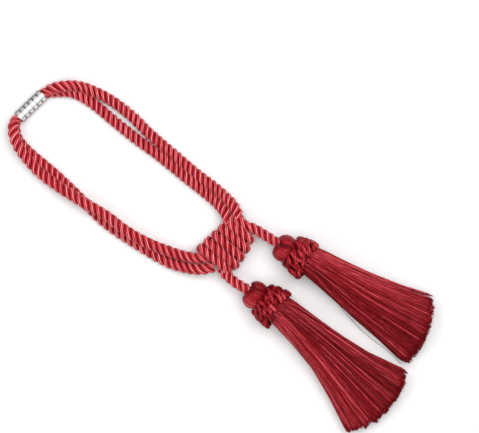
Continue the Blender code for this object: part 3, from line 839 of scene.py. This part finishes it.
def make_sleeve(material):
    """Eight facets of square studs with stepped sides, round a plain bore."""
    turn = math.pi / SLEEVE_SIDES
    apothem = SLEEVE_BORE_APOTHEM + SLEEVE_WALL
    half = apothem * math.tan(turn)
    cell = SLEEVE_LENGTH / SLEEVE_ROWS
    points, faces, tarnish_and_painted_reflection = [], [], []

    def add_quad_ring(ring, shine):
        points.extend(ring)
        tarnish_and_painted_reflection.extend([shine] * 4)
        return list(range(len(points) - 4, len(points)))

    for side in range(SLEEVE_SIDES):
        rotation = Matrix.Rotation(2 * turn * side + SLEEVE_ROLL, 3, "X")
        for row in range(SLEEVE_ROWS):
            x0 = -SLEEVE_LENGTH / 2 + row * cell
            before = None
            # The third value darkens the grooves for tarnish and the bevels for painted dark reflection
            for inset, height, shine in STUD_LEVELS:
                a, b = x0 + inset, x0 + cell - inset
                w = half - inset
                level = [(a, -w), (b, -w), (b, w), (a, w)]
                lifted = [rotation @ Vector((x, y, apothem + height)) for x, y in level]
                ring = add_quad_ring(lifted, shine)
                if before:
                    for i in range(4):
                        j = (i + 1) % 4
                        faces.append((before[i], before[j], ring[j], ring[i]))
                before = ring
            faces.append(tuple(before))
    end = SLEEVE_LENGTH / 2
    bore = SLEEVE_BORE_APOTHEM
    inner = half * bore / apothem
    section = ((-half, apothem), (half, apothem), (inner, bore), (-inner, bore))
    for side in range(SLEEVE_SIDES):
        rotation = Matrix.Rotation(2 * turn * side + SLEEVE_ROLL, 3, "X")
        ring = [(x, y, z) for x in (-end, end) for y, z in section]
        base = len(points)
        points.extend(rotation @ Vector(p) for p in ring)
        tarnish_and_painted_reflection.extend([RIM_POLISH] * len(ring))
        faces.append((base, base + 1, base + 2, base + 3))
        faces.append((base + 4, base + 7, base + 6, base + 5))
        faces.append((base + 3, base + 2, base + 6, base + 7))
    mesh = bpy.data.meshes.new("studded_sleeve")
    mesh.from_pydata(points, [], faces)
    shade = mesh.attributes.new(SHADE, "FLOAT", "POINT")
    shade.data.foreach_set("value", tarnish_and_painted_reflection)
    place = Matrix.Translation((*SLEEVE_CENTRE, apothem + STUD_HEIGHT + SLEEVE_CLEARANCE))
    mesh.transform(place @ Matrix.Rotation(SLEEVE_ANGLE, 4, "Z"))
    mesh.validate()
    mesh.materials.append(material)
    dress(add_object("studded_sleeve", mesh), "sleeve_metal", "sleeve")


def tassel_axes(tassel):
    x, y, heading = TASSELS[tassel]
    turn = math.radians(heading)
    onward = np.array([math.cos(turn), math.sin(turn), 0.0])
    return np.array([x, y, AXIS_HEIGHT]), onward, np.cross(UP, onward)


def hang_out(near, far, side):
    """How far the tassel stands out past its solid, near and far. Side is the angle's cosine."""
    return near * np.maximum(-side, 0.0) ** 2 + far * np.maximum(side, 0.0) ** 2


def round_tassel(tassel, distance, radius, angle):
    """Points at a distance along the tassel's axis, and at a radius and an angle round it."""
    origin, onward, side = tassel_axes(tassel)
    place = origin + np.asarray(distance)[..., None] * onward
    place = place + (radius * np.cos(angle))[..., None] * side
    place = place + (radius * np.sin(angle))[..., None] * UP
    place[..., 2] = np.maximum(place[..., 2], 0.0)
    return place


def make_head(tassel, material, seed):
    draw = np.random.default_rng(seed)
    outline = smooth_route([(d, r, 0.0) for r, d in HEAD_PROFILE], HEAD_STEP)
    distance, radius = outline[:, :1], outline[:, 1:2]
    relief = np.tile(np.array(HEAD_THREAD_COLUMNS), HEAD_THREADS)
    columns = len(relief)
    angle = -around(columns)
    ball = np.interp(distance, BALL_END, (1.0, 0.0)) * np.interp(radius, BALL_ROOT, (0.0, 1.0))
    scale = np.ones((len(distance), columns))
    for middle, depth, half_width in HEAD_CREASES[tassel]:
        lean = HEAD_CREASE_LEAN * (distance - HEAD_MIDDLE)
        off = (angle - math.radians(middle) - lean + math.pi) % math.tau - math.pi
        scale -= depth * ball * np.exp(-(off / math.radians(half_width)) ** 2)
    side = np.cos(angle)
    out = radius * scale + HEAD_THREAD_DEPTH * relief + ball * hang_out(*HEAD_SWELLS[tassel], side)
    middle, half_width, depth = HEAD_NOTCHES[tassel]
    front = np.clip(1 - distance / HEAD_MIDDLE, 0.0, 1.0)
    notch = front * np.exp(-((out * side - middle) / half_width) ** 2)
    grid = round_tassel(tassel, distance + depth * notch, out, angle)
    thread_tones = np.repeat(draw.normal(size=HEAD_THREADS), len(HEAD_THREAD_COLUMNS))
    # Painted shade in the creases and between the threads, with random tones for the threads
    shades = np.clip(HEAD_TONE - HEAD_CREASE_SHADE * (1 - scale), 0.0, 1.0)
    shades = shades * (1 + HEAD_THREAD_SHADE * relief) * (1 + HEAD_THREAD_TONE * thread_tones)
    # Painted light and shade: one side of the head lighter, the other darker
    painted_light_middle, painted_shade_fall = HEAD_PAINTED_SIDE_LIGHT
    shades = shades * (painted_light_middle - painted_shade_fall * np.cos(angle - math.radians(HEAD_PAINTED_SHADE_SIDE)))
    # Darker round the neck, with painted shade in the notch and round the cord's entry
    tie = np.exp(-((distance - HEAD_NECK) / HEAD_TIE_WIDTH) ** 2)
    shades = shades * (1 - HEAD_TIE_SHADE * tie) * (1 - HEAD_NOTCH_SHADE * notch)
    shades = shades * np.interp(distance, HEAD_HOLE, (HEAD_HOLE_PAINTED_SHADE, 1.0))
    surface = Surface()
    across = np.arange(columns + 1) / len(HEAD_THREAD_COLUMNS)
    surface.add_tubes(grid[None], across, run_along(outline), shades[None])
    dress(surface.finish("head_" + tassel, material), "head_thread", "tassel_head_" + tassel)


def ruff_strand(tassel, row, first, size, slant, bow):
    """A short slanting strand of cord, arched outward, with its ends sunk in the ruff."""
    middle, base_radius = row[:2]
    t = np.linspace(-1.0, 1.0, RUFF_CORD_STEPS)
    p = RUFF_STRAND_LENGTH / 2 * size * t
    q = bow * (1 - t**2)
    angle = first + (p * math.sin(slant) + q * math.cos(slant)) / base_radius
    first_row, last_row = RUFF_ROWS[0][0], RUFF_ROWS[-1][0]
    down = (middle - first_row) / (last_row - first_row)
    shift = RUFF_TOP_SHIFT * down * max(math.sin(first), 0.0) ** 2
    distance = middle - shift + p * math.cos(slant) - q * math.sin(slant)
    near_sag = RUFF_NEAR_SAG[tassel] * np.interp(down, (0.0, 1.0), RUFF_SAG_SHARES)
    hang = hang_out(near_sag, RUFF_FAR_FLARE[tassel], np.cos(angle))
    arch = RUFF_ARCH_TILT * t + (1 - np.abs(t) ** RUFF_ARCH_CURVE)
    radius = base_radius - RUFF_CORD_RADIUS * RUFF_STRAND_SINK + RUFF_STRAND_LIFT * arch * size + hang
    return round_tassel(tassel, distance, radius, angle)


def make_ruff(tassel, material, seed):
    draw = np.random.default_rng(seed)
    surface = Surface()
    origin, onward, _ = tassel_axes(tassel)
    columns = RUFF_CORD_COLUMNS
    steps = np.linspace(-1.0, 1.0, RUFF_CORD_STEPS)[:, None]
    local = around(columns)
    plies = np.cos(RUFF_CORD_PLIES * local)
    cord_radius = RUFF_CORD_RADIUS * (1 + RUFF_PLY_DEPTH * plies)
    cord_radius = cord_radius * (1 - RUFF_CORD_TAPER * np.abs(steps) ** 4)
    turn = local + math.tau * RUFF_CORD_TWIST * (steps + 1) / 2
    # Painted shade in the ply creases, towards the core and at the ends, and painted light on the
    # strand's outer side
    shades = RUFF_CREASE_SHADE + (1 - RUFF_CREASE_SHADE) * (plies + 1) / 2
    shades = shades * (RUFF_INNER_SHADE + RUFF_OUTER_SHADE * ((np.sin(turn) + 1) / 2) ** RUFF_SHADE_CURVE)
    shades = shades * (1 - RUFF_END_SHADE * np.abs(steps) ** 3)
    darkest, spread = RUFF_TONES
    for row in RUFF_ROWS:
        count, first = row[2:]
        for strand in range(count):
            jitter = draw.uniform(-1, 1, 5) * RUFF_SPREADS
            line = ruff_strand(
                tassel,
                (row[0] + jitter[0], row[1] + jitter[4]),
                math.radians(first) + math.tau * (strand + jitter[1]) / count,
                1 + jitter[2],
                RUFF_SLANT + jitter[3],
                RUFF_STRAND_BOW * draw.choice((-1.0, 1.0)),
            )
            tangents = unit(np.gradient(line, axis=0))
            outward = unit(line - origin - ((line - origin) @ onward)[:, None] * onward)
            across_axis = unit(np.cross(outward, tangents))
            rise = np.cross(tangents, across_axis)
            ring = (np.cos(turn) * cord_radius)[..., None] * across_axis[:, None]
            ring = ring + (np.sin(turn) * cord_radius)[..., None] * rise[:, None]
            tube = line[:, None] + ring
            tube[..., 2] = np.maximum(tube[..., 2], 0.0)
            across = RUFF_CORD_PLIES * (np.arange(columns + 1) / columns + strand)
            tone = darkest + spread * draw.random()
            # A painted glint on a few strands of the last row
            if row is RUFF_ROWS[-1] and draw.random() < RUFF_PAINTED_GLINT_SHARE:
                tone = RUFF_PAINTED_GLINT_TONE
            surface.add_tubes(tube[None], across, run_along(line), shades * tone)
    # The base under the strands stays at the darkest tone: painted shade between them
    distance, radius = (np.array(values) for values in zip(*RUFF_PAINTED_SHADE_BASE))
    distances, radii = (np.repeat(values[:, None], PAINTED_SHADE_BASE_COLUMNS, axis=1) for values in (distance, radius))
    painted_shade_base = round_tassel(tassel, distances, radii, -around(PAINTED_SHADE_BASE_COLUMNS))
    surface.add_tubes(painted_shade_base[None], np.arange(PAINTED_SHADE_BASE_COLUMNS + 1) / 2, distance, 0.0)
    dress(surface.finish("ruff_" + tassel, material), "ruff_braid", "tassel_ruff_" + tassel)


def skirt_lines(tassel, across, up, stretch):
    """The skirt's threads: thread, station, xyz, from places across and up its band, -1 to 1."""
    origin, onward, side = tassel_axes(tassel)
    round_across = across * np.sqrt(1 - up * up / 2)
    round_up = up * np.sqrt(1 - across * across / 2)
    disc = BAND_RADIUS * (round_across[:, None] * side + round_up[:, None] * UP)
    stations = [origin + (BAND_FRONT - back) * onward + disc for back in BAND_STATIONS]
    crown = EDGE_THICKNESS + (1 - EDGE_THICKNESS) * np.sqrt(np.maximum(1 - across**4, 0))
    for station, section in enumerate(SKIRT_SECTIONS[tassel]):
        near_x, near_y, far_x, far_y, low, high, roundness, bulge = section
        near, far = np.array([near_x, near_y]), np.array([far_x, far_y])
        flat_z = low + (high * crown - low) * (up + 1) / 2
        round_z = (low + high) / 2 + round_up * (high - low) / 2
        side_place = across + (round_across - across) * roundness
        place = near + (far - near) * ((side_place + 1) / 2)[:, None]
        ahead = np.array([far_y - near_y, near_x - far_x])
        ahead = ahead / np.linalg.norm(ahead)
        is_tip = station == len(SKIRT_SECTIONS[tassel]) - 1
        place = place + (bulge * (1 - across**2) + stretch * is_tip)[:, None] * ahead
        stations.append(np.column_stack([place, flat_z + (round_z - flat_z) * roundness]))
    return np.stack(stations, axis=1)


def thread_shares():
    """Where a thread's rings lie, from 0 at its root to 1. The last one is close, for the tip's shade."""
    return np.append(np.linspace(0, TIP_SHARE, SKIRT_RINGS - 1), 1.0)


def spline_through(stations):
    """Smooth lines through each thread's stations, with a point for each ring."""
    before = 2 * stations[:, :1] - stations[:, 1:2]
    after = 2 * stations[:, -1:] - stations[:, -2:-1]
    padded = np.concatenate([before, stations, after], axis=1)
    place = thread_shares() * (stations.shape[1] - 1)
    index = np.minimum(place.astype(int), stations.shape[1] - 2)
    t = (place - index)[None, :, None]
    return between(*(padded[:, index + k] for k in range(4)), t)


def thread_tubes(lines, radii, draw):
    """Three-sided tubes along lines: line, ring, xyz."""
    tangents = unit(np.gradient(lines, axis=1))
    side = unit(np.cross(UP, tangents))
    rise = np.cross(tangents, side)
    spin = draw.uniform(0, math.tau, (len(lines), 1, 1)) + around(3)
    return (
        lines[:, :, None]
        + (radii[..., None] * np.cos(spin))[..., None] * side[:, :, None]
        + (radii[..., None] * np.sin(spin))[..., None] * rise[:, :, None]
    )


def lock_draw(draw):
    """A random number for each lock, kept from being large."""
    return np.clip(draw.normal(size=SKIRT_LOCKS), -LARGEST_DRAW, LARGEST_DRAW)


def strand_of(across):
    """Which strand each thread belongs to, from its place across the skirt."""
    return ((across + 1) / 2 * (SKIRT_STRANDS - 1)).astype(int)


def skirt_places(draw, n):
    """Each thread's lock, its places across and up the skirt from -1 to 1, and whether it lies on top."""
    widths = draw.uniform(*LOCK_WIDTHS, SKIRT_LOCKS)
    edges = np.concatenate([[0.0], np.cumsum(widths)]) / widths.sum() * 2 - 1
    across = draw.uniform(-1, 1, n)
    lock = np.clip(np.searchsorted(edges, across) - 1, 0, SKIRT_LOCKS - 1)
    within = 2 * (across - edges[lock]) / (edges[lock + 1] - edges[lock]) - 1
    kind = draw.random(n)
    lock_sink = draw.uniform(0.0, LOCK_SINK, SKIRT_LOCKS)[lock]
    top = 1 - LOCK_ROUNDING * within**2 - lock_sink - TOP_SINK * draw.random(n) ** 2
    up = draw.uniform(-INSIDE, INSIDE, n)
    up = np.where(kind < TOP_SHARE, top, up)
    up = np.where(kind > 1 - UNDER_SHARE, -top, up)
    sides = (kind > TOP_SHARE) & (kind < TOP_SHARE + SIDE_SHARE)
    across = np.where(sides, np.sign(across) * (1 - EDGE_SPREAD * draw.random(n)), across)
    return lock, across, np.clip(up, -1, 1), kind < TOP_SHARE


def skirt_tones(tassel, draw, lock, across, on_top, painted_glint, dark):
    """How light each thread is at each of its rings: random tones, with painted sheen, glints and shade.
    """
    n = len(across)
    share = thread_shares()[None]
    lock_tone = LOCK_TONE * lock_draw(draw)[lock]
    strand_tone = STRAND_TONE * draw.normal(size=SKIRT_STRANDS)[strand_of(across)]
    tone = SKIRT_TONE + lock_tone + strand_tone + THREAD_TONE * draw.normal(size=n)
    # Threads that aren't on top take a darker tone: painted shade
    tone = np.where(on_top, tone, LOWER_PAINTED_SHADE_TONE)[:, None]
    # Painted satin sheen in broad zones
    place = across[:, None]
    for across_at, across_reach, share_at, share_reach, amount in SKIRT_PAINTED_SHEENS[tassel]:
        far_off = ((place - across_at) / across_reach) ** 2 + ((share - share_at) / share_reach) ** 2
        tone = tone + amount * np.exp(-far_off)
    # Painted glints along part of some threads
    centre = draw.uniform(*GLINT_PLACES, (n, 1))
    reach = draw.uniform(*GLINT_REACHES, (n, 1))
    shine = np.exp(-(((share - centre) / reach) ** 2))
    tone = tone + np.where(painted_glint[:, None], GLINT_TONE * shine, 0.0)
    tone = tone - np.where(dark[:, None], DARK_TONE, 0.0)
    return np.clip(tone, 0.0, LIGHTEST_TONE) * (1 - TIP_SHADE * (share > TIP_SHARE))


def skirt_stretch(tassel, draw, lock, across, up):
    """How far each thread's tip lies past the solid's hem, and which threads stray."""
    n = len(across)
    lock_length = lock_draw(draw)
    strand_length = draw.normal(size=SKIRT_STRANDS)
    stretch = SKIRT_LENGTHENING[tassel] + LOCK_STRETCH * lock_length[lock]
    stretch = stretch + STRAND_STRETCH * strand_length[strand_of(across)]
    stretch = stretch - THREAD_SHORTENING * np.abs(draw.normal(size=n)) - SKIRT_UNDERCUT * (1 - up) / 2
    stray = draw.random(n) < STRAY_SHARE
    return np.where(stray, draw.uniform(*STRAY_STRETCH, n), stretch), stray


def skirt_squeeze(tassel, across, share):
    """How far the threads are drawn towards the skirt's middle, as a share of their way to it."""
    near, far = (np.maximum(side, 0.0)[:, None, None] for side in (-across, across))
    squeeze = SKIRT_WAIST * np.sin(math.pi * share**WAIST_CURVE)
    squeeze = squeeze + SKIRT_FAR_WAIST[tassel] * far * np.sin(math.pi * share**FAR_WAIST_CURVE)
    squeeze = squeeze - SKIRT_SHOULDER * np.sin(math.pi * np.minimum(share / SHOULDER_END, 1.0))
    near_shoulder, far_shoulder = SKIRT_SIDE_SHOULDERS[tassel]
    side_hump = np.sin(math.pi * np.minimum(share / SIDE_SHOULDER_END, 1.0))
    return squeeze - (near_shoulder * near + far_shoulder * far) * side_hump


def wander_off(draw, lock, across, share, feature):
    """How far each thread is from its place at each of its rings."""
    n = len(across)
    wander = draw.normal(size=(n, 1, 3)) * np.array(THREAD_WANDER)
    amount = np.where(feature, FEATURE_WANDER, np.where(np.abs(across) > WANDER_EDGE, EDGE_WANDER, 1.0))
    lock_sway = draw.normal(size=(SKIRT_LOCKS, 1, 3)) * np.array(LOCK_SWAY)
    lock_turns = draw.uniform(*LOCK_SWAY_TURNS, (SKIRT_LOCKS, 1, 1))
    sway = lock_sway[lock] * np.sin(math.pi * share * lock_turns[lock])
    fine_sway = draw.normal(size=(n, 1, 3)) * np.array(THREAD_SWAY)
    turns = draw.uniform(*THREAD_SWAY_TURNS, (n, 1, 1))
    return wander * amount[:, None, None] * share + sway + fine_sway * np.sin(math.pi * share * turns)


def make_skirt(tassel, material, seed):
    draw = np.random.default_rng(seed)
    n = SKIRT_THREADS
    lock, across, up, on_top = skirt_places(draw, n)
    stretch, stray = skirt_stretch(tassel, draw, lock, across, up)
    lines = spline_through(skirt_lines(tassel, across * BAND_FILL, up * BAND_FILL, stretch))
    share = thread_shares()[None, :, None]
    middle = lines.mean(axis=0)
    lines[..., :2] += (middle[..., :2] - lines[..., :2]) * skirt_squeeze(tassel, across, share)
    inner = on_top & (np.abs(across) < FEATURE_EDGE)
    kind = draw.random(n)
    # Some top threads carry a painted glint, others are dark
    painted_glint = inner & (kind < GLINT_SHARE)
    dark = inner & (kind > 1 - DARK_SHARE)
    feature = painted_glint | dark
    lines[..., 2] += np.where(feature, FEATURE_LIFT, 0.0)[:, None]
    lines = lines + wander_off(draw, lock, across, share, feature)
    aside = np.where(across > WISP_FROM, 0.0, WISP_GAP * np.clip(across, 0.0, 1.0) ** 2)[:, None]
    lines[..., 1] -= aside * share[..., 0] ** 4
    radii = np.full((n, SKIRT_RINGS), THREAD_RADIUS) * draw.uniform(*RADIUS_SPREAD, (n, 1))
    radii = np.where((feature | stray)[:, None], FEATURE_RADIUS, radii)
    lines[..., 2] = np.maximum(lines[..., 2], FEATURE_RADIUS)
    tones = skirt_tones(tassel, draw, lock, across, on_top, painted_glint, dark)
    surface = Surface()
    across_uv = np.arange(4)[None] / 3 + 3 * np.arange(n)[:, None]
    surface.add_tubes(thread_tubes(lines, radii, draw), across_uv, run_along(lines), tones[:, :, None])
    if tassel in LOOSE_THREADS:
        line = smooth_route(LOOSE_THREADS[tassel], LOOSE_STEP)
        radius = np.full((1, len(line)), LOOSE_RADIUS)
        loose = thread_tubes(line[None], radius, draw)
        surface.add_tubes(loose, 3.0 * n + np.arange(4) / 3, run_along(line), LOOSE_TONE)
    dress(surface.finish("skirt_" + tassel, material), "skirt_thread", "tassel_skirt_" + tassel)


# ---- scene

make_camera()
rope_thread, tassel_thread, skirt_thread = (satin_thread(name, *look) for name, look in THREADS.items())
make_loop_rope("rope_outer", OUTER_ROUTE, rope_thread, "loop_cord_outer")
make_loop_rope("rope_inner", INNER_ROUTE, rope_thread, "loop_cord_inner")
for tassel, route in TASSEL_ROUTES.items():
    make_tassel_rope(tassel, route, rope_thread)
make_floor()
make_sky()
make_lights()
make_sleeve(polished_metal("sleeve_metal"))
make_knot(rope_thread)
for seed, tassel in enumerate(TASSELS):
    make_head(tassel, tassel_thread, seed)
    make_ruff(tassel, tassel_thread, seed)
    make_skirt(tassel, skirt_thread, seed)
